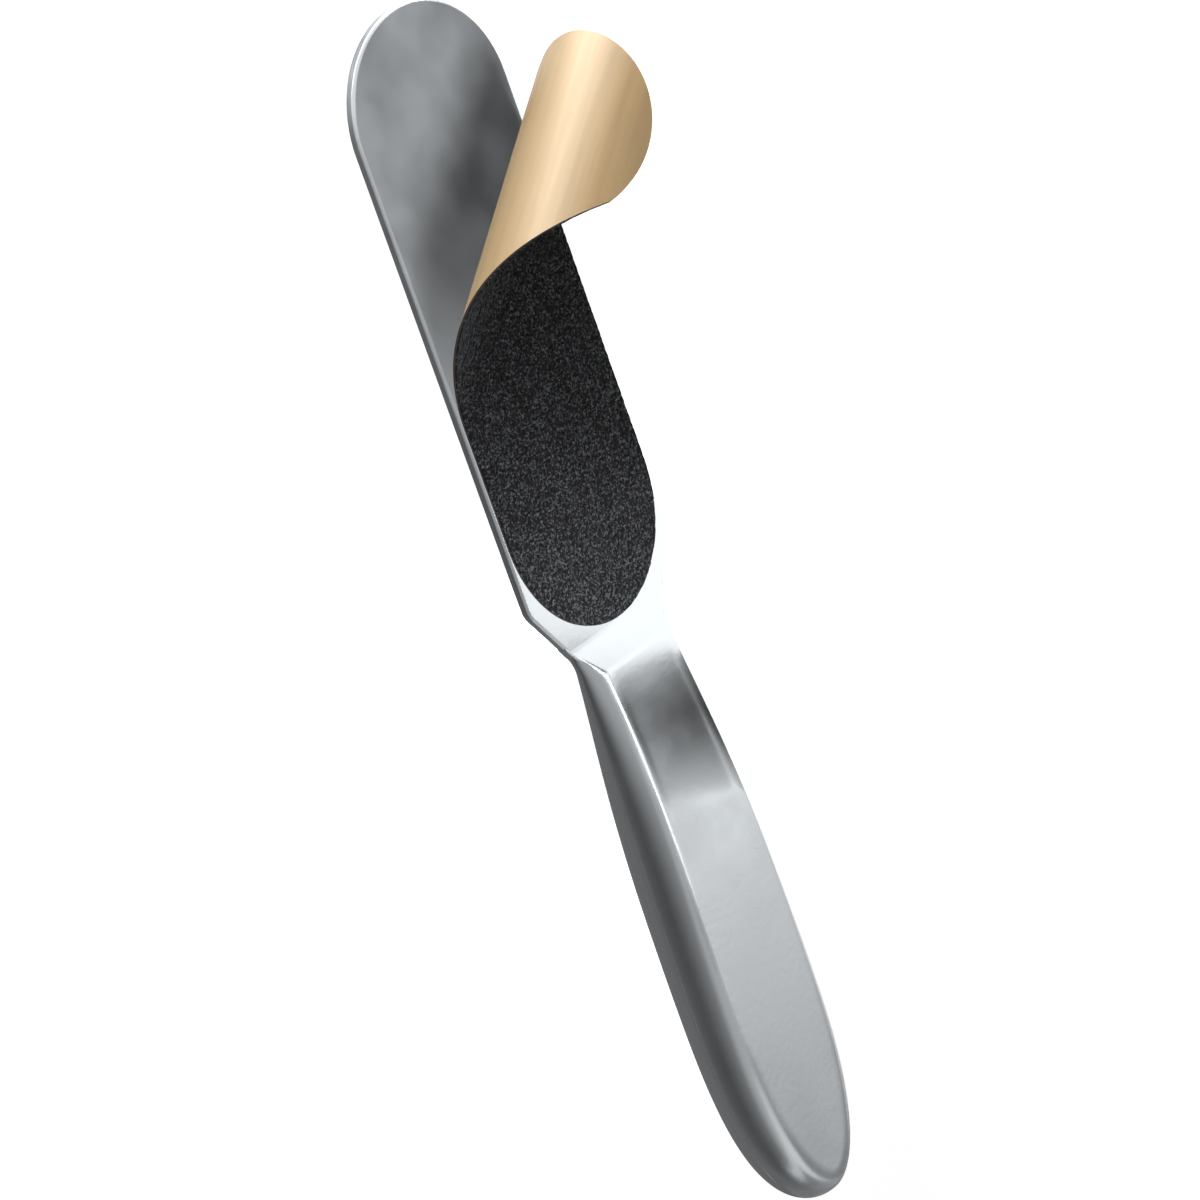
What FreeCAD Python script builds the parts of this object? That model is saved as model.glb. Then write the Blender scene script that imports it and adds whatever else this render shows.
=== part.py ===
import math
import os

import FreeCAD
import Part

V = FreeCAD.Vector
V2 = FreeCAD.Base.Vector2d

# Sizes that set the part, in millimetres and degrees

# Stations are counted along the file from the shoulder corners of the paddle, positive
# towards the end of the handle and negative towards the tip of the paddle.
paddle_width = 38.0
paddle_length = 103.0          # shoulder corners to tip
paddle_thickness = 2.0
paddle_bevel = 0.4             # bevelled edges along the sides and the tip
shoulder_round = 1.2           # the shoulder corners are rounded off over this length
shoulder_straight = 9.0        # length of the slanting shoulder before it curves into the neck
ramp_station = 10.0            # here the handle starts to rise from the paddle
crest_station = 15.2           # here the ramp ends and the long face of the handle begins
crest_rise = 2.0               # height of this crest over the paddle face
ramp_power = 1.4               # hollow curve of the ramp, 1 is straight
neck_station = 15.0            # narrowest place of the file
neck_width = 23.4
flat_station = 59.0            # from here on both faces of the handle are flat
grip_station = 80.0            # widest place of the handle
grip_width = 27.8
handle_length = 121.0          # shoulder corners to handle end
handle_thickness = 12.8
flank_inset = 2.8              # the face of the handle is this much narrower on every side
swell_power = 1.2              # how the handle widens from neck to grip
end_power = 2.7                # how full the rounded end is, 2 is an ellipse

shell_wall = 1.0
hollow_station = 16.0          # here the hollow of the handle begins
seat_step = 0.2                # the blade is this much thinner on each face where the shells sit on it
weld_station = 20.0            # up to here the blade is as wide as the neck, after it comes the tang
tang_station = 48.0            # end of the tang inside the handle
tang_clearance = 0.4           # air between the tang and the inside of the shells

sheet_margin = 0.5             # bare steel along the edge of the abrasive sheet
sheet_station = 8.8            # end of the abrasive sheet on the shoulder
sheet_end_length = 21.0        # depth of the half ellipse that rounds this end
sheet_tip_radius = 19.15       # of the arc that rounds the other end
adhesive_thickness = 0.1
paper_thickness = 0.3
grit_thickness = 0.4

peel_station = -49.3           # here the peel line crosses the middle of the file
peel_angle = 50.5              # between the peel line and the middle of the file
roll_radius = 17.25            # of the curled sheet, at the middle of its paper
lift_clearance = 0.3           # the moving flap stays this far above the paddle
flap_gap = 0.4                 # slit between the stuck sheet and the moving flap

tip_steps = 8                  # rounded end of the handle, steps on each side
loft_degree = 3
ramp_shares = (0.0, 0.35, 0.7, 1.0)
swell_shares = (0.12, 0.3, 0.52, 0.76, 1.0)
grip_shares = (0.0, 0.35, 0.7)

# Sizes that follow from them

middle = handle_thickness / 2              # height of the plane that halves the file
paddle_half = paddle_thickness / 2
paddle_top = middle + paddle_half
half_width = paddle_width / 2
half_neck = neck_width / 2
half_grip = grip_width / 2
crest_half_height = paddle_half + crest_rise
seat_half = paddle_half - seat_step
end_span = handle_length - grip_station
sheet_thickness = adhesive_thickness + paper_thickness + grit_thickness
sheet_half = half_width - sheet_margin
ramp_run = crest_station - ramp_station
swell_rise = middle - crest_half_height
swell_run = flat_station - crest_station
swell_radius = (swell_run ** 2 + swell_rise ** 2) / (2 * swell_rise)
outer_radius = roll_radius + paper_thickness / 2 + adhesive_thickness


def at(station, side=0.0, height=0.0):
    """Point of the file; the origin lies under the widest place of the handle."""
    return V(grip_station - station, side, height)


def bezier(poles):
    """Curve that starts and ends at the outer poles and leans towards the inner ones."""
    curve = Part.BezierCurve()
    curve.setPoles(poles)
    return curve


def shoulder_point(share):
    """Side and station of the curve that leads from the slanting shoulder into the neck."""
    run = neck_station - shoulder_straight
    slant = (half_width - half_neck) / (shoulder_straight + run / 2)
    side = half_neck + slant * run / 2 * (1 - share) ** 2
    return shoulder_straight + share * run, side


def half_width_at(station):
    """Half width of the file at its middle plane, from the shoulder to the widest place."""
    if station < neck_station:
        share = (station - shoulder_straight) / (neck_station - shoulder_straight)
        return shoulder_point(share)[1]
    share = min((station - neck_station) / (grip_station - neck_station), 1.0)
    return half_neck + (half_grip - half_neck) * math.sin(math.pi / 2 * share ** swell_power)


def half_height_at(station):
    """Half thickness of the file: a ramp to the crest, then a long arc to the flat face."""
    if station < crest_station:
        share = (station - ramp_station) / ramp_run
        return paddle_half + crest_rise * share ** ramp_power
    rest = max(flat_station - station, 0.0)
    return middle - swell_radius + math.sqrt(swell_radius ** 2 - rest ** 2)


def inset_at(station):
    """How much narrower the face is than the middle plane; it grows along the ramp."""
    share = (station - ramp_station) / ramp_run
    return flank_inset * min(share, 1.0)


def flank(edge_point, outward, inset, half_height, wall):
    """Side wall from the upper edge of the face to the lower one: round outside, bent once inside."""
    face_edge = edge_point - outward * inset
    bulge = edge_point + outward * inset
    upper = face_edge + V(0, 0, half_height)
    lower = face_edge - V(0, 0, half_height)
    if wall > 0:
        return [Part.makeLine(upper, edge_point), Part.makeLine(edge_point, lower)]
    return [bezier([upper, bulge, lower]).toShape()]


def cross_section(station, wall):
    """Closed outline of the handle across the file, moved inwards by a wall."""
    width = half_width_at(station) - wall
    height = half_height_at(station) - wall
    inset = inset_at(station)
    left = flank(at(station, width, middle), V(0, 1, 0), inset, height, wall)
    right = flank(at(station, -width, middle), V(0, -1, 0), inset, height, wall)
    top = Part.makeLine(left[0].firstVertex().Point, right[0].firstVertex().Point)
    bottom = Part.makeLine(left[-1].lastVertex().Point, right[-1].lastVertex().Point)
    return Part.Wire(Part.__sortEdges__([top, bottom] + left + right))


def end_flanks(wall):
    """Side walls round the end of the handle, from the left side to the right side."""
    left = []
    for share in grip_shares:
        station = flat_station + share * (grip_station - flat_station)
        left.append((at(station, half_width_at(station) - wall, middle), V(0, 1, 0)))
    for step in range(tip_steps + 1):
        turn = math.pi / 2 * step / tip_steps
        reach = math.sin(turn) ** (2 / end_power)
        slope = end_power * reach ** (end_power - 1) / end_span
        outward = V(-slope, 2 * math.cos(turn) / half_grip, 0)
        outward.normalize()
        rim = at(grip_station + reach * end_span, half_grip * math.cos(turn), middle)
        left.append((rim - outward * wall, outward))
    left[-1] = (V(left[-1][0].x, 0, middle), V(-1, 0, 0))
    right = [(V(p.x, -p.y, p.z), V(o.x, -o.y, 0)) for p, o in reversed(left[:-1])]
    return left + right


def handle_end(wall):
    """Flat-faced part of the handle with its rounded end, as a solid."""
    height = middle - wall
    flanks = [flank(p, o, flank_inset, height, wall) for p, o in end_flanks(wall)]
    side = Part.makeLoft([Part.Wire(edges) for edges in flanks], False, False, False, loft_degree)
    rims = [edge for edge in side.Edges if edge.BoundBox.ZLength < lift_clearance]
    faces = list(side.Faces)
    for level in (middle + height, middle - height):
        rim = [edge for edge in rims if abs(edge.CenterOfMass.z - level) < lift_clearance]
        ends = [rim[0].firstVertex().Point, rim[0].lastVertex().Point]
        faces.append(Part.Face(Part.Wire(rim + [Part.makeLine(ends[1], ends[0])])))
    faces.append(Part.Face(cross_section(flat_station, wall)))
    shell = Part.makeShell(faces)
    shell.sewShape()
    return Part.makeSolid(shell)


def handle_form(start, wall):
    """The whole handle from a start station to its end, moved inwards by a wall."""
    stations = [ramp_station + share * ramp_run for share in ramp_shares]
    stations = [start] + [station for station in stations if station > start]
    stations += [crest_station + share * swell_run for share in swell_shares]
    outlines = [cross_section(station, wall) for station in stations]
    front = Part.makeLoft(outlines, True, False, False, loft_degree)
    return front.fuse(handle_end(wall)).removeSplitter()


def slab(first, last, bottom, top, width):
    """Box between two stations and two heights."""
    corner = at(last, -width, bottom)
    return Part.makeBox(last - first, 2 * width, top - bottom, corner)


def prism(edges, bottom, thickness):
    """Plate with an outline drawn at height zero."""
    face = Part.Face(Part.Wire(Part.__sortEdges__(edges)))
    face.translate(V(0, 0, bottom))
    return face.extrude(V(0, 0, thickness))


def rounded(station, length, width, direction):
    """Half ellipse that closes a strip of a given half width; it bulges along X."""
    centre = at(station)
    side = at(station, width)
    far = centre + V(direction * length, 0, 0)
    if length > width:
        return Part.ArcOfEllipse(Part.Ellipse(far, side, centre), -math.pi / 2, math.pi / 2).toShape()
    return Part.ArcOfEllipse(Part.Ellipse(side, far, centre), 0.0, math.pi).toShape()


# Steel of the file

body = handle_form(ramp_station, 0.0)
hollow = handle_form(hollow_station, shell_wall)
neck_slab = slab(ramp_station, weld_station, middle - seat_half, middle + seat_half, paddle_width)


def paddle_plate():
    """Flat part of the blade: sides, rounded tip and slanting shoulders."""
    tip_start = half_width - paddle_length
    tip = [at(tip_start, half_width), at(-paddle_length), at(tip_start, -half_width)]
    edges = [Part.Arc(*tip).toShape()]
    share = (ramp_station - shoulder_straight) / (neck_station - shoulder_straight)
    ends = []
    for side in (1, -1):
        start = shoulder_point(0.0)
        corner = at(0.0, side * half_width)
        before = at(-shoulder_round, side * half_width)
        slant = at(start[0], side * start[1]) - corner
        after = corner + slant * (shoulder_round / slant.Length)
        edges.append(Part.makeLine(at(tip_start, side * half_width), before))
        edges.append(bezier([before, corner, after]).toShape())
        edges.append(Part.makeLine(after, corner + slant))
        control = at((shoulder_straight + neck_station) / 2, side * half_neck)
        curve = bezier([corner + slant, control, at(neck_station, side * half_neck)])
        edges.append(curve.toShape(0.0, share))
        ends.append(at(ramp_station, side * half_width_at(ramp_station)))
    edges.append(Part.makeLine(ends[0], ends[1]))
    plate = prism(edges, middle - paddle_half, paddle_thickness)
    rims = [edge for edge in plate.Edges if edge.BoundBox.ZLength < paddle_half]
    rims = [edge for edge in rims if edge.BoundBox.XMin > at(0.0).x]
    return plate.makeChamfer(paddle_bevel, rims)


def tang():
    """Tongue of the blade inside the handle, with a rounded end."""
    room = half_width_at(weld_station) - shell_wall - tang_clearance
    width = room - flank_inset * seat_half / half_height_at(weld_station)
    end = tang_station - width
    edges = [Part.Arc(at(end, width), at(tang_station), at(end, -width)).toShape()]
    for side in (1, -1):
        edges.append(Part.makeLine(at(weld_station, side * width), at(end, side * width)))
    edges.append(Part.makeLine(at(weld_station, width), at(weld_station, -width)))
    return prism(edges, middle - seat_half, 2 * seat_half)


paddle_blade = paddle_plate().fuse([body.common(neck_slab), tang()]).removeSplitter()
steel_shell = body.cut([hollow, neck_slab])
above = slab(0.0, handle_length + paddle_width, middle, handle_thickness * 2, paddle_width)
below = slab(0.0, handle_length + paddle_width, -handle_thickness, middle, paddle_width)
handle_upper_shell = steel_shell.common(above)
handle_lower_shell = steel_shell.common(below)

# Abrasive sheet, stuck down on the paddle and curled up past the peel line

turn = math.radians(peel_angle)
peel_point = at(peel_station)
along = V(math.cos(turn), -math.sin(turn), 0)        # direction of the peel line
away = V(math.sin(turn), math.cos(turn), 0)          # from the peel line to the peeled side
roll_axis = peel_point + V(0, 0, paddle_top + outer_radius)
lift_angle = math.acos(1 - lift_clearance / outer_radius)
flap_angle = lift_angle + flap_gap / roll_radius
tip_centre = at(sheet_tip_radius + sheet_margin - paddle_length)
tip_run = math.sqrt(sheet_tip_radius ** 2 - sheet_half ** 2)     # from this centre to the tip's corners


def on_roll(point):
    """Roll angle and place along the peel line of a point of the flat sheet."""
    offset = point - peel_point
    return V2(offset.dot(away) / roll_radius, offset.dot(along))


def edge_at_angle(angle, side):
    """Point of a straight edge of the flat sheet at a roll angle."""
    reach = (angle * roll_radius - side * sheet_half * away.y) / away.x
    return V(peel_point.x + reach, side * sheet_half, 0)


def roll_outline(first, last):
    """Outline of the rolled sheet between two roll angles; without a last one up to the tip."""
    near = [on_roll(edge_at_angle(first, side)) for side in (1, -1)]
    if last is not None:
        far = [on_roll(edge_at_angle(last, side)) for side in (1, -1)]
        corners = [near[1], far[1], far[0], near[0]]
        return [Part.Geom2d.Line2dSegment(p, q) for p, q in zip(corners, corners[1:] + corners[:1])]
    sides = [on_roll(tip_centre + V(tip_run, side * sheet_half, 0)) for side in (1, -1)]
    centre = on_roll(tip_centre)
    major = V2(centre.x, centre.y + sheet_tip_radius)
    minor = V2(centre.x - sheet_tip_radius / roll_radius, centre.y)
    oval = Part.Geom2d.Ellipse2d(major, minor, centre)
    marks = [oval.parameter(side) for side in (sides[0], sides[1])]
    if marks[1] < marks[0]:
        marks[1] += 2 * math.pi
    rim = Part.Geom2d.ArcOfEllipse2d(oval, marks[0], marks[1])
    lines = [(near[1], sides[1]), (sides[0], near[0]), (near[0], near[1])]
    lines = [Part.Geom2d.Line2dSegment(p, q) for p, q in lines]
    return [lines[0], rim, lines[1], lines[2]]


def rolled(first, last, depth, thickness):
    """Layer of the rolled sheet that lies a depth inside the outer face."""
    outline = roll_outline(first, last)
    walls = []
    faces = []
    for radius in (outer_radius - depth, outer_radius - depth - thickness):
        surface = Part.Cylinder()
        surface.Radius = radius
        edges = [curve.toShape(surface) for curve in outline]
        walls.append(edges)
        wire = Part.Wire(edges)
        faces.append(Part.Face(surface, wire))
    faces += [Part.makeRuledSurface(outer, inner) for outer, inner in zip(*walls)]
    shell = Part.makeShell(faces)
    shell.sewShape()
    solid = Part.makeSolid(shell)
    solid.Placement = FreeCAD.Placement(roll_axis, FreeCAD.Rotation(V(0, 0, -1), away, along, "ZXY"))
    return solid


def laid(depth, thickness):
    """Layer of the stuck sheet, from its round end to the peel line."""
    end = sheet_station - sheet_end_length
    corners = [edge_at_angle(0.0, side) for side in (1, -1)]
    edges = [rounded(end, sheet_end_length, sheet_half, -1)]
    edges += [Part.makeLine(at(end, side * sheet_half), corner) for side, corner in zip((1, -1), corners)]
    edges.append(Part.makeLine(corners[0], corners[1]))
    return prism(edges, paddle_top + depth, thickness)


depths = (0.0, adhesive_thickness, adhesive_thickness + paper_thickness)
layers = (adhesive_thickness, paper_thickness, grit_thickness)
parts = {"paddle_blade": paddle_blade,
         "handle_upper_shell": handle_upper_shell,
         "handle_lower_shell": handle_lower_shell}
for name, depth, thickness in zip(("adhesive", "paper", "grit"), depths, layers):
    start = rolled(0.0, lift_angle, depth, thickness)
    parts[name + "_laid"] = laid(depth, thickness).fuse(start).removeSplitter()
    parts[name + "_flap"] = rolled(flap_angle, None, depth, thickness)

os.makedirs("parts", exist_ok=True)
for name, shape in parts.items():
    solid = shape.Solids[0] if len(shape.Solids) == 1 else shape
    solid.exportStep("parts/" + name + ".step")
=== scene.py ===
import math
import random

import bmesh
import bpy
from bpy.props import FloatProperty, FloatVectorProperty, IntProperty, PointerProperty
from mathutils import Matrix, Vector
from mathutils.geometry import delaunay_2d_cdt


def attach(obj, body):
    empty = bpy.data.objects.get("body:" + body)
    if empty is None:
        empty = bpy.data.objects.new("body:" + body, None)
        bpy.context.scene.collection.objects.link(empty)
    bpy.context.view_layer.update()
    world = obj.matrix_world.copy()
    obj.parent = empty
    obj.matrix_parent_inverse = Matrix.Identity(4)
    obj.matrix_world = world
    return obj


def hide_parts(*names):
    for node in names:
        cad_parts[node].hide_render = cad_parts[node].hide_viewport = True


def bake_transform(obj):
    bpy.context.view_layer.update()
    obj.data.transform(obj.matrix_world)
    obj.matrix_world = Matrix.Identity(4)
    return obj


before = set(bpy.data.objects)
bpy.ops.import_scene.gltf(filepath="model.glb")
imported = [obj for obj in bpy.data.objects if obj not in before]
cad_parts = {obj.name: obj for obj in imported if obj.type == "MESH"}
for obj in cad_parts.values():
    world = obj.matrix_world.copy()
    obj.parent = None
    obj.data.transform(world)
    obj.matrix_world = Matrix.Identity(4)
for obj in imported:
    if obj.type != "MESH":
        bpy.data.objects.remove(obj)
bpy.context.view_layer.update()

bl_info = {
    "name": "Foot file with peeling abrasive sheet",
    "version": (1, 0, 0),
    "blender": (4, 5, 0),
    "location": "View3D > Sidebar > Foot file",
    "description": "Dresses the packed foot file: satin steel, peeling abrasive sheet and studio",
    "category": "Object",
}


def linear(code):
    """Linear colour of an sRGB hex code."""
    parts = [int(code[i:i + 2], 16) / 255 for i in (0, 2, 4)]
    return [c / 12.92 if c <= 0.04045 else ((c + 0.055) / 1.055) ** 2.4 for c in parts]


def length(name, text, default):
    """Property for a length in metres."""
    return FloatProperty(name=name, description=text, default=default, min=0.0,
                         unit="LENGTH", subtype="DISTANCE", precision=5)


def angle(name, text, degrees):
    """Property for an angle that is written in degrees."""
    return FloatProperty(name=name, description=text, default=math.radians(degrees),
                         unit="ROTATION", subtype="ANGLE")


def number(name, text, default):
    """Property for a plain number or share."""
    return FloatProperty(name=name, description=text, default=default)


def colour(name, text, code):
    """Property for a colour that is written as an sRGB hex code."""
    return FloatVectorProperty(name=name, description=text, default=linear(code), size=3,
                               subtype="COLOR", min=0.0, max=1.0)


class HandleSizes(bpy.types.PropertyGroup):
    """Form of the hollow handle; stations count from the shoulder corners to the handle end."""
    origin_station: length("Widest station", "Widest place of the handle, over the origin", 0.080)
    half_grip: length("Half grip width", "Half the width at the widest place", 0.0139)
    end_station: length("Handle end", "Station of the rounded end", 0.121)
    end_power: number("End fullness", "How full the rounded end is; 2 is an ellipse", 2.7)
    ramp_station: length("Ramp start", "Station where the handle rises from the paddle", 0.010)
    ramp_power: number("Ramp hollow", "Hollow curve of the ramp; 1 is straight", 1.4)
    crest_station: length("Crest", "Station where the ramp ends", 0.0152)
    crest_rise: length("Crest rise", "Height of the crest over the paddle face", 0.002)
    neck_station: length("Neck", "Narrowest place of the file", 0.015)
    half_neck: length("Half neck width", "Half the width at the neck", 0.0117)
    slant_station: length("Slant end", "End of the straight shoulder", 0.009)
    half_paddle: length("Half paddle width", "Half the width of the paddle", 0.019)
    paddle_half: length("Half paddle thickness", "Half the thickness of the paddle", 0.001)
    flat_station: length("Flat start", "From here on the face is flat", 0.059)
    middle: length("Middle height", "Height of the plane that halves the file", 0.0064)
    inset: length("Flank inset", "The face is this much narrower on every side", 0.0028)
    swell_power: number("Swell", "How the handle widens from neck to grip", 1.2)
    crease_neck: length("Crease at neck", "Rounding of the crease at the neck", 0.0009)
    crease_end: length("Crease at end", "Rounding of the crease at the handle end", 0.0024)
    dish: length("Face dish", "Depth of the face below its crest near the neck", 0.00012)
    proud: length("Skin offset", "The skin lies this far over the steel of the blade", 0.00003)
    lap: length("Lap", "The skin starts this far before the ramp, below the paddle face", 0.0015)
    wall: length("Wall", "Thickness of the shells", 0.0008)


class SheetSizes(bpy.types.PropertyGroup):
    """Flat cut of the abrasive sheet and the way it peels."""
    half: length("Half width", "Half the width of the sheet", 0.0185)
    end_x: length("Round end start", "Here the rounded end on the shoulder begins", 0.0922)
    end_depth: length("Round end depth", "Depth of the half ellipse at this end", 0.021)
    tip_x: length("Tip centre", "Centre of the arc at the tip, laid flat", 0.16335)
    tip_radius: length("Tip radius", "Radius of the arc at the tip", 0.01915)
    paddle_top: length("Paddle face", "Height of the paddle face", 0.0074)
    backing: length("Backing", "Thickness of adhesive and paper", 0.0004)
    grit: length("Grit", "Thickness of the grit", 0.0004)
    peel_x: length("Peel line", "Here the peel line crosses the middle of the file", 0.1293)
    peel_angle: angle("Peel angle", "Between the peel line and the middle of the file", 50.5)
    roll: length("Roll radius", "Radius of the curl at the middle of the paper", 0.01725)
    outer: length("Outer radius", "Radius of the curl at the adhesive face", 0.0175)
    grain: length("Grain spacing", "Mean distance of the abrasive grains", 0.00046)
    grain_height: length("Grain height", "How far grains differ in height", 0.00022)
    seed: IntProperty(name="Seed", description="Start of the random grain places", default=11)


class Finishes(bpy.types.PropertyGroup):
    """Colours of the finishes."""
    steel: colour("Steel", "Satin stainless steel seen straight on", "c2c6c9")
    grit: colour("Grit", "Black silicon carbide grain", "0f0f10")
    # Lighter tone of some grains: painted glints on the grain tops
    glint_speck: colour("Grit specks", "Worn, lighter grain tops", "63666a")
    paper: colour("Backing paper", "Latex-soaked backing paper under the adhesive film", "b29362")
    fibre_and_shade: colour("Paper fibres", "Darker fibre streaks in the paper", "a58656")
    # Streak colour: partly paper fibre, partly painted shade between bands of sheen on the curl
    edge: colour("Cut edge", "Dark cut edge of the sheet", "2b2520")


class StageSizes(bpy.types.PropertyGroup):
    """Camera, floor and lamps."""
    azimuth: angle("Azimuth", "Camera direction in plan, from +X", 66.84)
    elevation: angle("Elevation", "Camera direction above the floor", 43.46)
    roll: angle("Roll", "Turn of the camera about its line of sight", 19.745)
    distance: length("Distance", "Camera to target", 1.06986)
    lens: number("Lens", "Focal length on a 36 mm wide sensor, in millimetres", 188.98)
    target: FloatVectorProperty(name="Target", description="Point in the middle of the picture",
                                default=(0.075366, 0.0022155, 0.0074), subtype="XYZ", unit="LENGTH")
    floor: colour("Floor", "Pale floor", "f4f4f2")
    floor_lift: number("Floor lift", "Glow that takes the lit floor to white in the picture", 0.88)
    sky: number("Room light", "Even light of the white room", 0.08)


class FootFile(bpy.types.PropertyGroup):
    """All sizes and colours of the foot file."""
    handle: PointerProperty(type=HandleSizes)
    sheet: PointerProperty(type=SheetSizes)
    finish: PointerProperty(type=Finishes)
    stage: PointerProperty(type=StageSizes)


# Small helpers


def add_node(tree, kind, inputs=None, **settings):
    """Adds a node with its settings; an input is a value or the socket that feeds it."""
    made = tree.nodes.new(kind)
    for name, value in settings.items():
        setattr(made, name, value)
    for name, value in (inputs or {}).items():
        if isinstance(value, bpy.types.NodeSocket):
            tree.links.new(value, made.inputs[name])
        else:
            made.inputs[name].default_value = value
    return made


def new_material(name):
    """Empty material and its node tree."""
    material = bpy.data.materials.new(name)
    material.use_nodes = True
    material.node_tree.nodes.clear()
    return material, material.node_tree


def rgba(value):
    """Colour property with full opacity."""
    return (*value, 1.0)


def new_object(name, mesh, material):
    """Links a mesh to the scene with one material."""
    obj = bpy.data.objects.new(name, mesh)
    bpy.context.scene.collection.objects.link(obj)
    mesh.materials.append(material)
    return obj


def settings():
    """The foot file's properties."""
    return bpy.context.scene.foot_file


# Finishes


def satin_stainless_steel(name, smoothest, roughest, buffed=None):
    """Stamped stainless steel, tumbled to a satin: soft broad reflections, a fine even grain, faint
    clouds and dimples, and softened edges. Where buffed is given, the steel has its third value as
    roughness up to its first place along X, and the common one from its second place on."""
    grain_size, cloud_size, dimple_size, edge_radius = 0.0003, 0.014, 0.0012, 0.0003
    material, tree = new_material(name)
    place = add_node(tree, "ShaderNodeTexCoord").outputs["Object"]
    # The grain of a tumbled surface is about 0.1 mm, drawn at 0.3 mm so that it shows
    grain = add_node(tree, "ShaderNodeTexNoise", {"Vector": place, "Scale": 1 / grain_size,
                     "Detail": 2.0})
    # Clouds of slightly different polish, about 14 mm across
    cloud = add_node(tree, "ShaderNodeTexNoise", {"Vector": place, "Scale": 1 / cloud_size,
                     "Detail": 3.0})
    polish = add_node(tree, "ShaderNodeMapRange", {"Value": cloud.outputs["Fac"], "From Min": 0.3,
                      "From Max": 0.7, "To Min": smoothest, "To Max": roughest})
    gloss = polish.outputs["Result"]
    if buffed:
        buffed_end, common_start, buffed_roughness = buffed
        along = add_node(tree, "ShaderNodeSeparateXYZ", {"Vector": place}).outputs["X"]
        common = add_node(tree, "ShaderNodeMapRange", {"Value": along, "From Min": buffed_end,
                          "From Max": common_start})
        gloss = add_node(tree, "ShaderNodeMix", {"Factor": common.outputs["Result"],
                         "A": buffed_roughness, "B": gloss}).outputs["Result"]
    # Faint dimples left by the tumbling, about 1.2 mm across
    dimple = add_node(tree, "ShaderNodeTexNoise", {"Vector": place, "Scale": 1 / dimple_size,
                      "Detail": 1.0})
    soft_edge = add_node(tree, "ShaderNodeBevel", {"Radius": edge_radius}, samples=6)
    waves = add_node(tree, "ShaderNodeBump", {"Height": dimple.outputs["Fac"], "Strength": 0.5,
                     "Distance": 0.00002, "Normal": soft_edge.outputs["Normal"]})
    bump = add_node(tree, "ShaderNodeBump", {"Height": grain.outputs["Fac"], "Strength": 0.12,
                    "Distance": 0.00003, "Normal": waves.outputs["Normal"]})
    steel = rgba(settings().finish.steel)
    shader = add_node(tree, "ShaderNodeBsdfPrincipled", {"Base Color": steel, "Metallic": 1.0,
                      "Roughness": gloss, "Normal": bump.outputs["Normal"]})
    add_node(tree, "ShaderNodeOutputMaterial", {"Surface": shader.outputs["BSDF"]})
    return material


def silicon_carbide_grit():
    """Black silicon carbide grain in resin: near black, each grain with its own roughness, and some
    grains painted lighter at random as glints.
    """
    colours = settings().finish
    grain_size, chip_size = 0.0003, 0.00012
    material, tree = new_material("silicon_carbide_grit")
    flat = add_node(tree, "ShaderNodeUVMap", uv_map="flat").outputs["UV"]
    # One cell for each grain of about 0.3 mm
    cell = add_node(tree, "ShaderNodeTexVoronoi", {"Vector": flat, "Scale": 1 / grain_size})
    share = add_node(tree, "ShaderNodeSeparateColor", {"Color": cell.outputs["Color"]})
    # Some grains at random get the lighter tone: painted glints
    painted_glint_share = add_node(tree, "ShaderNodeMapRange", {"Value": share.outputs["Red"], "From Min": 0.6,
                    "From Max": 1.0, "To Min": 0.0, "To Max": 0.42})
    tone = add_node(tree, "ShaderNodeMix", {"Factor": painted_glint_share.outputs["Result"],
                    "A": rgba(colours.grit), "B": rgba(colours.glint_speck)}, data_type="RGBA")
    gloss = add_node(tree, "ShaderNodeMapRange", {"Value": share.outputs["Green"], "To Min": 0.3,
                     "To Max": 0.6})
    # Fracture steps on the grains, about 0.12 mm
    chips = add_node(tree, "ShaderNodeTexNoise", {"Vector": flat, "Scale": 1 / chip_size,
                     "Detail": 2.0})
    bump = add_node(tree, "ShaderNodeBump", {"Height": chips.outputs["Fac"], "Strength": 0.5,
                    "Distance": 0.00006})
    shader = add_node(tree, "ShaderNodeBsdfPrincipled", {"Base Color": tone.outputs["Result"],
                      "Roughness": gloss.outputs["Result"], "Specular IOR Level": 0.05,
                      "Normal": bump.outputs["Normal"]})
    add_node(tree, "ShaderNodeOutputMaterial", {"Surface": shader.outputs["BSDF"]})
    return material


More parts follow.
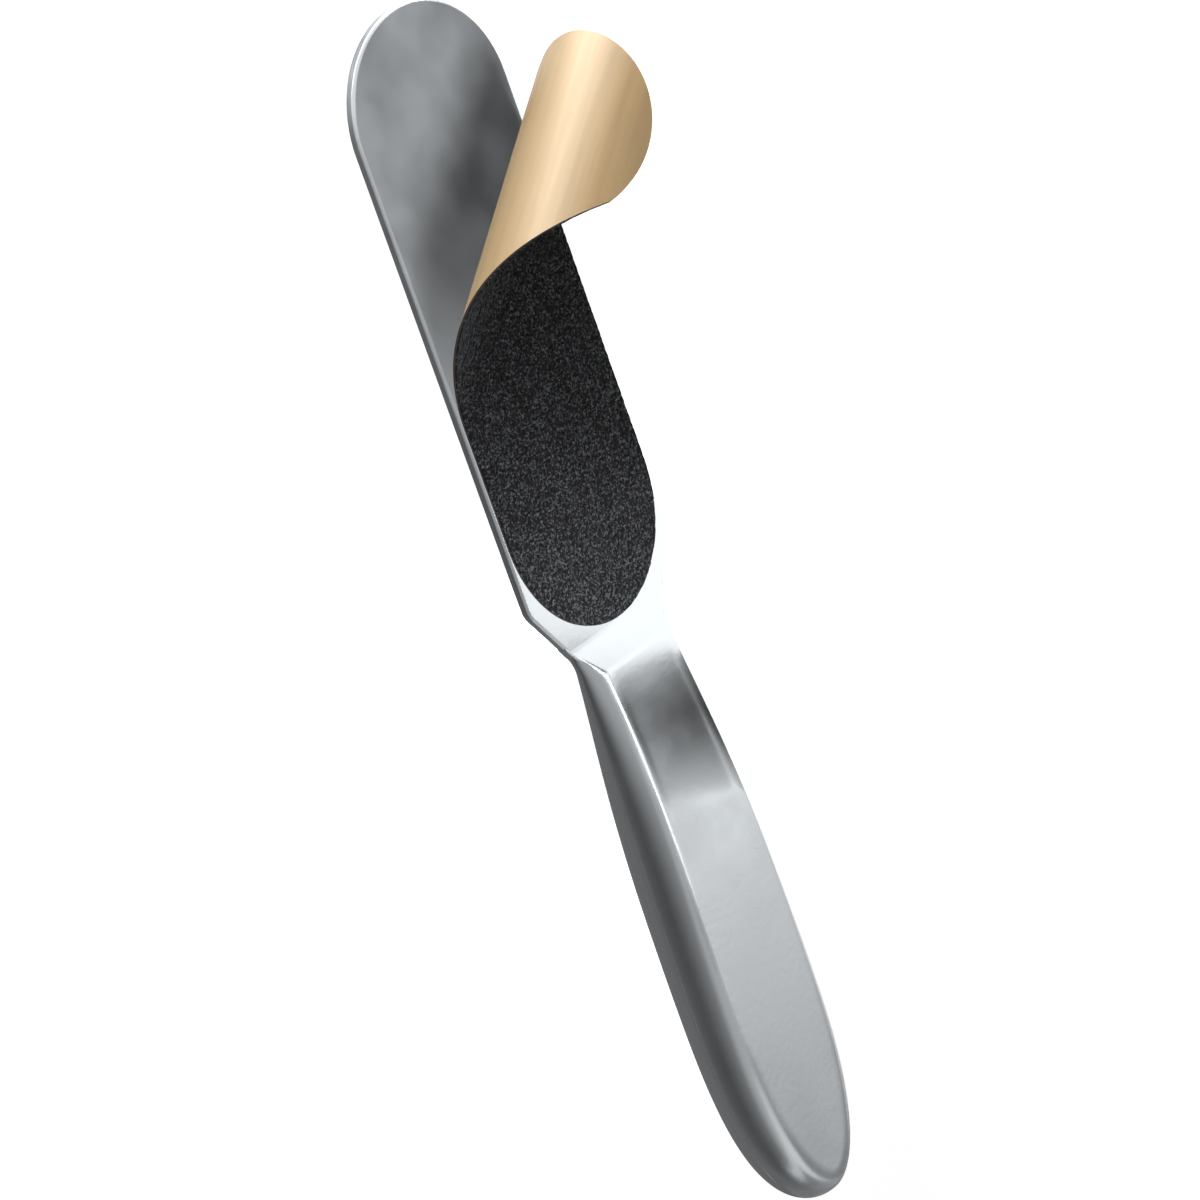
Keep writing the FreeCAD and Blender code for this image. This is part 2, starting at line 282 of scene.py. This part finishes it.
def coated_backing_paper():
    """Latex-soaked tan paper with a clear adhesive film: warm, with faint streaks that are partly
    fibre and partly painted shade between bands of sheen, and a broad soft gloss from the film."""
    colours = settings().finish
    streak_width, streak_length, fibre_size = 0.002, 0.04, 0.0003
    material, tree = new_material("coated_backing_paper")
    flat = add_node(tree, "ShaderNodeUVMap", uv_map="flat").outputs["UV"]
    # Darker streaks, some 2 mm wide and 40 mm long, run with the roll: partly fibre streaks of the
    # paper, partly painted shade between the bands of sheen along the curl
    turn = (0.0, 0.0, math.pi / 2 - settings().sheet.peel_angle)
    spread = add_node(tree, "ShaderNodeMapping", {"Vector": flat, "Rotation": turn,
                      "Scale": (streak_width, streak_length, 1.0)}, vector_type="TEXTURE")
    fibre_and_shade_streak = add_node(tree, "ShaderNodeTexNoise", {"Vector": spread.outputs["Vector"], "Scale": 1.0,
                      "Detail": 3.0})
    share = add_node(tree, "ShaderNodeMapRange", {"Value": fibre_and_shade_streak.outputs["Fac"], "From Min": 0.4,
                     "From Max": 0.75})
    tone = add_node(tree, "ShaderNodeMix", {"Factor": share.outputs["Result"],
                    "A": rgba(colours.paper), "B": rgba(colours.fibre_and_shade)}, data_type="RGBA")
    # Single fibres are some 0.03 mm thick, drawn at 0.3 mm so that they show
    fibres = add_node(tree, "ShaderNodeTexNoise", {"Vector": flat, "Scale": 1 / fibre_size,
                      "Detail": 3.0})
    bump = add_node(tree, "ShaderNodeBump", {"Height": fibres.outputs["Fac"], "Strength": 0.1,
                    "Distance": 0.00004})
    shader = add_node(tree, "ShaderNodeBsdfPrincipled", {"Base Color": tone.outputs["Result"],
                      "Roughness": 0.5, "IOR": 1.5, "Coat Weight": 0.8, "Coat Roughness": 0.6,
                      "Normal": bump.outputs["Normal"]})
    add_node(tree, "ShaderNodeOutputMaterial", {"Surface": shader.outputs["BSDF"]})
    return material


def cut_paper_edge():
    """Cut edge of the sheet, dark: a thin dull line."""
    material, tree = new_material("cut_paper_edge")
    shader = add_node(tree, "ShaderNodeBsdfPrincipled", {"Base Color": rgba(settings().finish.edge),
                      "Roughness": 0.8})
    add_node(tree, "ShaderNodeOutputMaterial", {"Surface": shader.outputs["BSDF"]})
    return material


# Points nearer to each other than this are one point
WELD = 1e-7


# Handle


# Rows along the handle, from the lap to the rounded end, and points across it
LAP_ROWS, RAMP_ROWS, ARC_ROWS, FLAT_ROWS, END_ROWS = 5, 20, 48, 20, 64
FLANK_POINTS, CREASE_POINTS, DISH_POINTS, FACE_POINTS = 18, 10, 4, 8
# The dish of the face fades in behind the neck, out before the flat, and in from the crease
DISH_FROM_NECK, DISH_TO_FLAT, DISH_FROM_CREASE = 0.006, 0.015, 0.0016
# Share of the crease's rounding at the foot of the ramp
RAMP_CREASE = 0.3


def half_width_at(h, station):
    """Half width at the middle plane, from the ramp to the widest place."""
    if station < h.neck_station:
        run = h.neck_station - h.slant_station
        slant = (h.half_paddle - h.half_neck) / (h.slant_station + run / 2)
        return h.half_neck + slant * run / 2 * ((h.neck_station - station) / run) ** 2
    share = min((station - h.neck_station) / (h.origin_station - h.neck_station), 1.0)
    swell = math.sin(math.pi / 2 * share ** h.swell_power)
    return h.half_neck + (h.half_grip - h.half_neck) * swell


def half_height_at(h, station):
    """Half thickness: a ramp to the crest, then a long arc to the flat face."""
    if station < h.crest_station:
        share = (station - h.ramp_station) / (h.crest_station - h.ramp_station)
        return h.paddle_half + h.crest_rise * max(share, 0.0) ** h.ramp_power
    rise = h.middle - h.paddle_half - h.crest_rise
    run = h.flat_station - h.crest_station
    radius = (run ** 2 + rise ** 2) / (2 * rise)
    rest = max(h.flat_station - station, 0.0)
    return h.middle - radius + math.sqrt(radius ** 2 - rest ** 2)


def spaced(first, last, count):
    """Even values from first up to, but without, last."""
    return [first + (last - first) * i / count for i in range(count)]


def handle_rims(h):
    """Rows of the left half: place on the middle plane, outward direction and station."""
    stations = spaced(h.ramp_station - h.lap, h.ramp_station, LAP_ROWS)
    stations += spaced(h.ramp_station, h.crest_station, RAMP_ROWS)
    stations += spaced(h.crest_station, h.flat_station, ARC_ROWS)
    stations += spaced(h.flat_station, h.origin_station, FLAT_ROWS)
    rims = [((h.origin_station - s, half_width_at(h, s)), (0.0, 1.0), s) for s in stations]
    span = h.end_station - h.origin_station
    for step in range(END_ROWS + 1):
        turn = math.pi / 2 * (step / END_ROWS) ** (h.end_power / 2)
        reach = math.sin(turn) ** (2 / h.end_power)
        out = Vector((-h.end_power * reach ** (h.end_power - 1) / span,
                      2 * math.cos(turn) / h.half_grip))
        out.normalize()
        side = h.half_grip * math.cos(turn) if step < END_ROWS else 0.0
        rims.append(((-reach * span, side), tuple(out), h.origin_station + reach * span))
    return rims


def smooth(value):
    """Soft step from 0 to 1."""
    value = min(max(value, 0.0), 1.0)
    return value * value * (3 - 2 * value)


def handle_profile(h, rim, out, station):
    """Points from the middle plane up the left flank, over the crease and across the face to the
    centre line."""
    ramp = (station - h.ramp_station) / (h.crest_station - h.ramp_station)
    ramp = min(max(ramp, 0.0), 1.0)
    inset = h.inset * ramp
    # The skin comes out of the paddle face without an edge, so its lap starts just below that face
    sunk = max((h.ramp_station - station) / h.lap, 0.0)
    top = half_height_at(h, station) + h.proud * (1 - 2 * sunk)
    grow = smooth((station - h.neck_station) / (h.end_station - h.neck_station))
    crease = h.crease_neck + (h.crease_end - h.crease_neck) * grow
    crease *= RAMP_CREASE + (1 - RAMP_CREASE) * ramp
    start = crease / math.hypot(4 * inset, 2 * top)
    flank = []
    for step in range(FLANK_POINTS + 1):
        s = 0.5 + (start - 0.5) * step / FLANK_POINTS
        flank.append((4 * inset * s * (1 - s) - inset + h.proud, top * (1 - 2 * s)))
    end = flank[-1]
    corner = (4 * inset * start ** 2 - inset + h.proud, top)
    face = (-inset - crease, top)
    for step in range(1, CREASE_POINTS + 1):
        s = step / CREASE_POINTS
        pulls = list(zip(((1 - s) ** 2, 2 * s * (1 - s), s ** 2), (end, corner, face)))
        flank.append(tuple(sum(pull * point[i] for pull, point in pulls) for i in (0, 1)))
    points = [Vector((rim[0] + out[0] * u, rim[1] + out[1] * u, z)) for u, z in flank]
    edge = points[-1]
    dish = h.dish * smooth((station - h.neck_station) / DISH_FROM_NECK)
    dish *= smooth((h.flat_station - station) / DISH_TO_FLAT)
    near = min(DISH_FROM_CREASE, edge.y / 2)
    for step in range(1, DISH_POINTS + 1):
        share = step / DISH_POINTS
        points.append(Vector((edge.x, edge.y - near * share, top - dish * smooth(share))))
    inner = points[-1].y
    for step in range(1, FACE_POINTS + 1):
        points.append(Vector((edge.x, inner * (1 - step / FACE_POINTS), top - dish)))
    return points


def handle_half(h, name, up, material):
    """Skin of the upper or lower half of the handle, thickened inwards to a shell."""
    rows = []
    for rim, out, station in handle_rims(h):
        left = handle_profile(h, rim, out, station)
        right = [Vector((p.x, -p.y, p.z)) for p in reversed(left[:-1])]
        rows.append([Vector((p.x, p.y, h.middle + up * p.z)) for p in left + right])
    form = bmesh.new()
    made = [[form.verts.new(p) for p in row] for row in rows]
    for before, after in zip(made, made[1:]):
        for i in range(len(before) - 1):
            form.faces.new((before[i], before[i + 1], after[i + 1], after[i]))
    bmesh.ops.remove_doubles(form, verts=form.verts, dist=WELD)
    bmesh.ops.recalc_face_normals(form, faces=form.faces)
    top = max(form.faces, key=lambda face: up * face.calc_center_median().z)
    if top.normal.z * up < 0:
        bmesh.ops.reverse_faces(form, faces=form.faces)
    for face in form.faces:
        face.smooth = True
    mesh = bpy.data.meshes.new(name)
    form.to_mesh(mesh)
    form.free()
    obj = new_object(name, mesh, material)
    shell = obj.modifiers.new("wall", "SOLIDIFY")
    shell.thickness = h.wall
    shell.offset = -1.0
    shell.use_even_offset = False
    return obj


# Abrasive sheet


# Spacing of the points in the paper, and the share of a spacing between rows of points
PAPER_STEP, ROW_SHARE = 0.001, 0.866
# Share of the spacing by which grains leave the even pattern
GRAIN_JITTER = 0.3
# Grains at the cut edge are lower than the highest ones by at least this share of the relief
EDGE_DROP = 0.3
# The grit is sunk this far into the paper
GRIT_SUNK = 0.00002


def sheet_half_at(s, x):
    """Half width of the flat sheet."""
    if x < s.end_x:
        return s.half * math.sqrt(max(1 - ((s.end_x - x) / s.end_depth) ** 2, 0.0))
    if x > s.tip_x:
        return min(s.half, math.sqrt(max(s.tip_radius ** 2 - (x - s.tip_x) ** 2, 0.0)))
    return s.half


def sheet_outline(s, step):
    """Outline of the flat sheet, round the tip and round the shoulder end."""
    points = []
    widest = math.asin(s.half / s.tip_radius)
    count = int(2 * widest * s.tip_radius / step)
    for i in range(count + 1):
        turn = widest * (1 - 2 * i / count)
        points.append((s.tip_x + s.tip_radius * math.cos(turn), s.tip_radius * math.sin(turn)))
    corner_x = points[0][0]
    sides = int((corner_x - s.end_x) / step)
    points += [(corner_x + (s.end_x - corner_x) * i / sides, -s.half) for i in range(1, sides)]
    count = int(math.pi * s.end_depth / step)
    for i in range(count + 1):
        turn = math.pi * (i / count - 0.5)
        points.append((s.end_x - s.end_depth * math.cos(turn), s.half * math.sin(turn)))
    points += [(s.end_x + (corner_x - s.end_x) * i / sides, s.half) for i in range(1, sides)]
    return points


def sheet_faces(s, step, jitter):
    """Points and triangles of the flat sheet, with inner points about a step apart."""
    outline = sheet_outline(s, step)
    draw = random.Random(s.seed)
    points = list(outline)
    low = s.end_x - s.end_depth
    columns = int((s.tip_x + s.tip_radius - low) / step)
    rows = int(s.half / (step * ROW_SHARE)) + 1
    margin = step * 0.5
    for i in range(columns + 1):
        for j in range(-rows, rows + 1):
            x = low + (i + 0.5 * (j % 2)) * step + draw.uniform(-jitter, jitter) * step
            y = j * step * ROW_SHARE + draw.uniform(-jitter, jitter) * step
            narrowest = min(sheet_half_at(s, x - margin), sheet_half_at(s, x + margin))
            if abs(y) < narrowest - margin:
                points.append((x, y))
    loop = [(i, (i + 1) % len(outline)) for i in range(len(outline))]
    flat, _, faces, *_ = delaunay_2d_cdt([Vector(p) for p in points], loop, [], 1, WELD)
    return [tuple(p) for p in flat], faces, len(outline)


def curled(s, x, y, depth):
    """Place of a point of the flat sheet, a depth above its adhesive face: flat, then rolled."""
    along = Vector((math.cos(s.peel_angle), -math.sin(s.peel_angle), 0.0))
    away = Vector((math.sin(s.peel_angle), math.cos(s.peel_angle), 0.0))
    offset = Vector((x - s.peel_x, y, 0.0))
    past = offset.dot(away)
    if past <= 0:
        return Vector((x, y, s.paddle_top + depth))
    turn = past / s.roll
    radius = s.outer - depth
    place = Vector((s.peel_x, 0.0, s.paddle_top + s.outer)) + along * offset.dot(along)
    return place + away * (radius * math.sin(turn)) - Vector((0, 0, radius * math.cos(turn)))


def sheet_layer(s, name, step, jitter, bottom, top, rough, material, rim_material):
    """One layer of the sheet as a thin closed body, with its flat cut kept as a UV map."""
    flat, faces, count = sheet_faces(s, step, jitter)
    draw = random.Random(s.seed + 1)
    form = bmesh.new()
    uv = form.loops.layers.uv.new("flat")
    lower = [form.verts.new(curled(s, x, y, bottom)) for x, y in flat]
    upper = []
    for i, (x, y) in enumerate(flat):
        drop = draw.uniform(0.0, rough) if i >= count else draw.uniform(EDGE_DROP, 1.0) * rough
        upper.append(form.verts.new(curled(s, x, y, top - drop)))
    places = {}
    for i, (x, y) in enumerate(flat):
        places[lower[i]] = places[upper[i]] = (x, y)
    for a, b, c in faces:
        form.faces.new((upper[a], upper[b], upper[c])).smooth = rough == 0.0
        form.faces.new((lower[c], lower[b], lower[a])).smooth = True
    edges = [edge for edge in form.edges if edge.is_boundary]
    for edge in edges:
        edge.smooth = False
    twin = {a: b for a, b in zip(lower, upper)}
    for edge in [e for e in edges if e.verts[0] in twin and e.verts[1] in twin]:
        a, b = edge.verts
        form.faces.new((a, b, twin[b], twin[a])).material_index = 1
    bmesh.ops.recalc_face_normals(form, faces=form.faces)
    for face in form.faces:
        for loop in face.loops:
            loop[uv].uv = places[loop.vert]
    mesh = bpy.data.meshes.new(name)
    form.to_mesh(mesh)
    form.free()
    obj = new_object(name, mesh, material)
    mesh.materials.append(rim_material)
    return obj


# Operators


class FOOTFILE_OT_blade(bpy.types.Operator):
    """Gives the blade its satin steel"""
    bl_idname = "footfile.blade"
    bl_label = "Blade"

    def execute(self, context):
        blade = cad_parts["paddle_blade"]
        # The shoulder is as smooth as the handle; under the sheet the steel turns rougher
        buffed_end, common_start, buffed_roughness = 0.095, 0.12, 0.24
        steel = satin_stainless_steel("tumbled_stainless_steel", smoothest=0.35, roughest=0.53,
                                      buffed=(buffed_end, common_start, buffed_roughness))
        blade.data.materials.clear()
        blade.data.materials.append(steel)
        return {"FINISHED"}


class FOOTFILE_OT_handle(bpy.types.Operator):
    """Builds the two smooth shells of the handle"""
    bl_idname = "footfile.handle"
    bl_label = "Handle"

    def execute(self, context):
        sizes = settings().handle
        steel = satin_stainless_steel("satin_stainless_steel", smoothest=0.19, roughest=0.3)
        for name, up, node in (("handle_upper", 1, "handle_upper_shell"),
                               ("handle_lower", -1, "handle_lower_shell")):
            half = handle_half(sizes, name, up, steel)
            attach(half, "file")
            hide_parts(node)
        return {"FINISHED"}


class FOOTFILE_OT_sheet(bpy.types.Operator):
    """Builds the abrasive sheet, stuck down and curled up past the peel line"""
    bl_idname = "footfile.sheet"
    bl_label = "Abrasive sheet"

    def execute(self, context):
        s = settings().sheet
        grain = silicon_carbide_grit()
        paper = sheet_layer(s, "backing_paper", step=PAPER_STEP, jitter=0.0, bottom=0.0,
                            top=s.backing, rough=0.0, material=coated_backing_paper(),
                            rim_material=cut_paper_edge())
        grit = sheet_layer(s, "abrasive_grit", step=s.grain, jitter=GRAIN_JITTER,
                           bottom=s.backing - GRIT_SUNK, top=s.backing + s.grit,
                           rough=s.grain_height, material=grain, rim_material=grain)
        # The bared steel beside the flap shows its shade, but no tan reflection of it
        paper.visible_glossy = grit.visible_glossy = False
        paper_nodes = ("paper_laid", "paper_flap", "adhesive_laid", "adhesive_flap")
        grit_nodes = ("grit_laid", "grit_flap")
        for layer, nodes, slot in ((paper, paper_nodes, "backing_paper"),
                                   (grit, grit_nodes, "grit")):
            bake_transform(layer)
            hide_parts(*nodes)
        return {"FINISHED"}


# Stage


FLOOR_REACH = 6.0
SENSOR_WIDTH_MM = 36.0
CLIP_START, CLIP_END = 0.05, 30.0

# Lamps: name, place, aim, size, watts, and the rays that don't see the lamp
LAMPS = (
    # Even light from above
    ("overhead_softbox", (0.1, 0.1, 1.2), (0.07, 0.0, 0.0), (1.2, 1.2), 0.8, None),
    # Lights the paper of the flap
    ("flap_softbox", (0.786, 0.533, 0.173), (0.14, 0.0, 0.025), (0.4, 0.2), 5.8, "glossy"),
    # Sheen on the bared paddle, with the shade of the flap in it
    ("paddle_softbox", (0.09, -0.12, 0.69), (0.15, 0.0, 0.0074), (0.36, 0.36), 2.3, "diffuse"),
    # Lights the grit next to the shoulder
    ("neck_softbox", (0.045, 0.03, 0.045), (0.09, 0.0, 0.0), (0.03, 0.03), 0.12, "glossy"),
)

# Turns of the studio cards
LYING = (0.0, 0.0, 0.0)
STANDING = (math.radians(90), 0.0, 0.0)
LEANING = (math.radians(45), 0.0, 0.0)
ACROSS = (math.radians(90), 0.0, math.radians(90))

# Studio cards: name, middle, turn, size, strength of the glow, which no tone may pass, the card's
# own axis along which its tone changes, and the tones as pairs of a place on this axis and a tone
CARDS = (
    # On the handle's face bright near the neck, then falling off to the end; dark on the paddle
    ("gradient_card", (-0.25, -0.6, 0.62), LEANING, (1.5, 1.2), 2.5, "X",
     ((-0.75, 0.25), (-0.2, 0.3), (-0.13, 0.5), (-0.03, 1.05), (0.06, 1.65), (0.095, 1.5),
      (0.12, 0.1), (0.165, 0.05), (0.22, 0.1), (0.3, 0.1), (0.335, 0.7), (0.55, 0.7), (0.6, 0.1))),
    # White of the shoulder and the ramp
    ("bright_neck_card", (0.0735, -0.021, 0.032), STANDING, (0.031, 0.048), 2.5, "X",
     ((-0.0155, 1.6), (-0.011, 1.75), (0.0155, 1.75))),
    # Dark band across the hollow of the neck
    ("dark_neck_card", (0.044, -0.02, 0.027), STANDING, (0.028, 0.032), 1.2, "X",
     ((-0.014, 0.9), (-0.008, 0.42), (-0.003, 0.1), (0.003, 0.06), (0.009, 0.16), (0.014, 0.3))),
    # Dark ground of the bared paddle, which the sheen lies on
    ("dark_tip_card", (0.1595, -0.1, 0.11), LEANING, (0.175, 0.22), 1.0, "X",
     ((-0.0875, 0.1), (-0.06, 0.06), (0.0875, 0.06))),
    # Dark lower part of the flank
    ("ground_card", (-0.09, 0.106, 0.0004), LYING, (0.56, 0.22), 1.0, "Y",
     ((-0.11, 0.14), (-0.09, 0.22), (-0.08, 0.13), (-0.05, 0.1), (0.11, 0.11))),
    # Upper part of the flank, from dark to light
    ("side_card", (-0.09, 0.216, 0.35), STANDING, (0.56, 0.7), 1.0, "Y",
     ((-0.35, 0.11), (-0.31, 0.17), (-0.2, 0.44), (-0.1, 0.58), (0.35, 0.62))),
    # Grey of the upward faces and of the handle's end, in place of the white room
    ("ceiling_card", (-0.1, 0.06, 0.6), LYING, (0.4, 0.4), 1.0, "X", ((-0.2, 0.5), (0.2, 0.5))),
    ("end_card", (-0.75, -0.5, 0.18), STANDING, (0.9, 0.35), 1.0, "X", ((-0.45, 0.3), (0.45, 0.3))),
    ("end_ground_card", (-0.19, -0.095, 0.0004), LYING, (0.29, 0.21), 1.0, "X",
     ((-0.145, 0.3), (0.145, 0.3))),
    ("end_wall_card", (-0.6, -0.2, 0.2), ACROSS, (0.8, 0.4), 1.0, "X",
     ((-0.4, 0.6), (0.0, 0.4), (0.4, 0.2))),
    # Gloss along the roll of the flap
    ("flap_ground_card", (0.5, 0.14, 0.0004), LYING, (0.6, 0.42), 14.0, "X",
     ((-0.3, 14.0), (-0.2, 14.0), (-0.1, 3.0), (0.0, 1.0), (0.3, 1.0))),
)


def rectangle(name, width, depth):
    """Flat mesh of one face, its middle in the origin."""
    w, d = width / 2, depth / 2
    mesh = bpy.data.meshes.new(name)
    mesh.from_pydata([(-w, -d, 0), (w, -d, 0), (w, d, 0), (-w, d, 0)], [], [(0, 1, 2, 3)])
    return mesh


def softbox(name, place, aim, size, power, hidden):
    """Flat lamp that points at a place; rays of the hidden kind don't see it."""
    lamp = bpy.data.lights.new(name, "AREA")
    lamp.shape = "RECTANGLE"
    lamp.size, lamp.size_y = size
    lamp.energy = power
    obj = bpy.data.objects.new(name, lamp)
    obj.location = place
    obj.rotation_euler = (Vector(aim) - Vector(place)).to_track_quat("-Z", "Y").to_euler()
    obj.visible_camera = False
    obj.visible_diffuse = hidden != "diffuse"
    obj.visible_glossy = hidden != "glossy"
    bpy.context.scene.collection.objects.link(obj)


def studio_card(name, place, facing, size, strength, axis, stops):
    """Glowing card beside the picture that shows in reflections only."""
    material, tree = new_material(name)
    place_on = add_node(tree, "ShaderNodeTexCoord").outputs["Object"]
    along = add_node(tree, "ShaderNodeSeparateXYZ", {"Vector": place_on}).outputs[axis]
    reach = size["XY".index(axis)]
    share = add_node(tree, "ShaderNodeMapRange", {"Value": along, "From Min": -reach / 2,
                     "From Max": reach / 2})
    ramp = add_node(tree, "ShaderNodeValToRGB", {"Fac": share.outputs["Result"]})
    marks = ramp.color_ramp.elements
    while len(marks) < len(stops):
        marks.new(0.5)
    for mark, (where, tone) in zip(marks, stops):
        mark.position = where / reach + 0.5
        mark.color = rgba([tone / strength] * 3)
    shader = add_node(tree, "ShaderNodeEmission", {"Color": ramp.outputs["Color"],
                      "Strength": strength})
    add_node(tree, "ShaderNodeOutputMaterial", {"Surface": shader.outputs["Emission"]})
    obj = new_object(name, rectangle(name, *size), material)
    obj.location = place
    obj.rotation_euler = facing
    obj.visible_camera = obj.visible_diffuse = obj.visible_shadow = False


def seen_rays(tree):
    """1 for rays that show the background: camera, glossy and transmission rays."""
    path = add_node(tree, "ShaderNodeLightPath").outputs
    first = add_node(tree, "ShaderNodeMath", {0: path["Is Camera Ray"], 1: path["Is Glossy Ray"]},
                     operation="MAXIMUM")
    return add_node(tree, "ShaderNodeMath", {0: first.outputs[0], 1: path["Is Transmission Ray"]},
                    operation="MAXIMUM").outputs[0]


def pale_floor(st):
    """Matt pale floor with a slight glow for the rays that show it, so that it comes out white and
    keeps the shadow."""
    material, tree = new_material("pale_floor")
    matt = add_node(tree, "ShaderNodeBsdfDiffuse", {"Color": rgba(st.floor)})
    lift = add_node(tree, "ShaderNodeMath", {0: seen_rays(tree), 1: st.floor_lift},
                    operation="MULTIPLY")
    glow = add_node(tree, "ShaderNodeEmission", {"Strength": lift.outputs[0]})
    both = add_node(tree, "ShaderNodeAddShader", {0: matt.outputs[0], 1: glow.outputs[0]})
    add_node(tree, "ShaderNodeOutputMaterial", {"Surface": both.outputs[0]})
    mesh = rectangle("floor", 2 * FLOOR_REACH, 2 * FLOOR_REACH)
    new_object("floor", mesh, material)


def white_room(st):
    """World that looks white and gives a little even light."""
    world = bpy.data.worlds.new("white_room")
    world.use_nodes = True
    tree = world.node_tree
    tree.nodes.clear()
    white = (1.0, 1.0, 1.0, 1.0)
    light = add_node(tree, "ShaderNodeBackground", {"Color": white, "Strength": st.sky})
    wall = add_node(tree, "ShaderNodeBackground", {"Color": white, "Strength": 1.0})
    mix = add_node(tree, "ShaderNodeMixShader", {0: seen_rays(tree), 1: light.outputs[0],
                   2: wall.outputs[0]})
    add_node(tree, "ShaderNodeOutputWorld", {"Surface": mix.outputs[0]})
    return world


def photo_camera(st):
    """Camera that looks at the target from its azimuth and elevation, turned by its roll."""
    lens = bpy.data.cameras.new("camera")
    lens.lens = st.lens
    lens.sensor_width = SENSOR_WIDTH_MM
    lens.clip_start, lens.clip_end = CLIP_START, CLIP_END
    view = bpy.data.objects.new("camera", lens)
    bpy.context.scene.collection.objects.link(view)
    back = Vector((math.cos(st.elevation) * math.cos(st.azimuth),
                   math.cos(st.elevation) * math.sin(st.azimuth), math.sin(st.elevation)))
    # Without roll, the X axis points up in the picture
    up = Vector((1, 0, 0)) - back * back.x
    up.normalize()
    right = (-back).cross(up)
    up = math.cos(st.roll) * up + math.sin(st.roll) * right
    right = (-back).cross(up)
    turn = Matrix((right, up, back)).transposed().to_4x4()
    view.matrix_world = Matrix.Translation(Vector(st.target) + back * st.distance) @ turn
    return view


class FOOTFILE_OT_stage(bpy.types.Operator):
    """Sets the pale floor, the white room, the lamps, the studio cards and the camera"""
    bl_idname = "footfile.stage"
    bl_label = "Stage"

    def execute(self, context):
        st = settings().stage
        scene = context.scene
        scene.view_settings.view_transform = "Standard"
        pale_floor(st)
        scene.world = white_room(st)
        for lamp in LAMPS:
            softbox(*lamp)
        for card in CARDS:
            studio_card(*card)
        scene.camera = photo_camera(st)
        return {"FINISHED"}


class FOOTFILE_PT_panel(bpy.types.Panel):
    """Sizes, colours and steps of the foot file"""
    bl_idname = "FOOTFILE_PT_panel"
    bl_label = "Foot file"
    bl_space_type = "VIEW_3D"
    bl_region_type = "UI"
    bl_category = "Foot file"

    def draw(self, context):
        for step in steps:
            self.layout.operator(step.bl_idname)
        groups = context.scene.foot_file
        for group in (groups.handle, groups.sheet, groups.finish, groups.stage):
            box = self.layout.box()
            for name in group.__annotations__:
                box.prop(group, name)


steps = (FOOTFILE_OT_blade, FOOTFILE_OT_handle, FOOTFILE_OT_sheet, FOOTFILE_OT_stage)
classes = (HandleSizes, SheetSizes, Finishes, StageSizes, FootFile, *steps, FOOTFILE_PT_panel)


def register():
    for kind in classes:
        bpy.utils.register_class(kind)
    bpy.types.Scene.foot_file = PointerProperty(type=FootFile)


def unregister():
    del bpy.types.Scene.foot_file
    for kind in reversed(classes):
        bpy.utils.unregister_class(kind)


def main():
    register()
    bpy.ops.footfile.blade()
    bpy.ops.footfile.handle()
    bpy.ops.footfile.sheet()
    bpy.ops.footfile.stage()


if __name__ == "__main__":
    main()
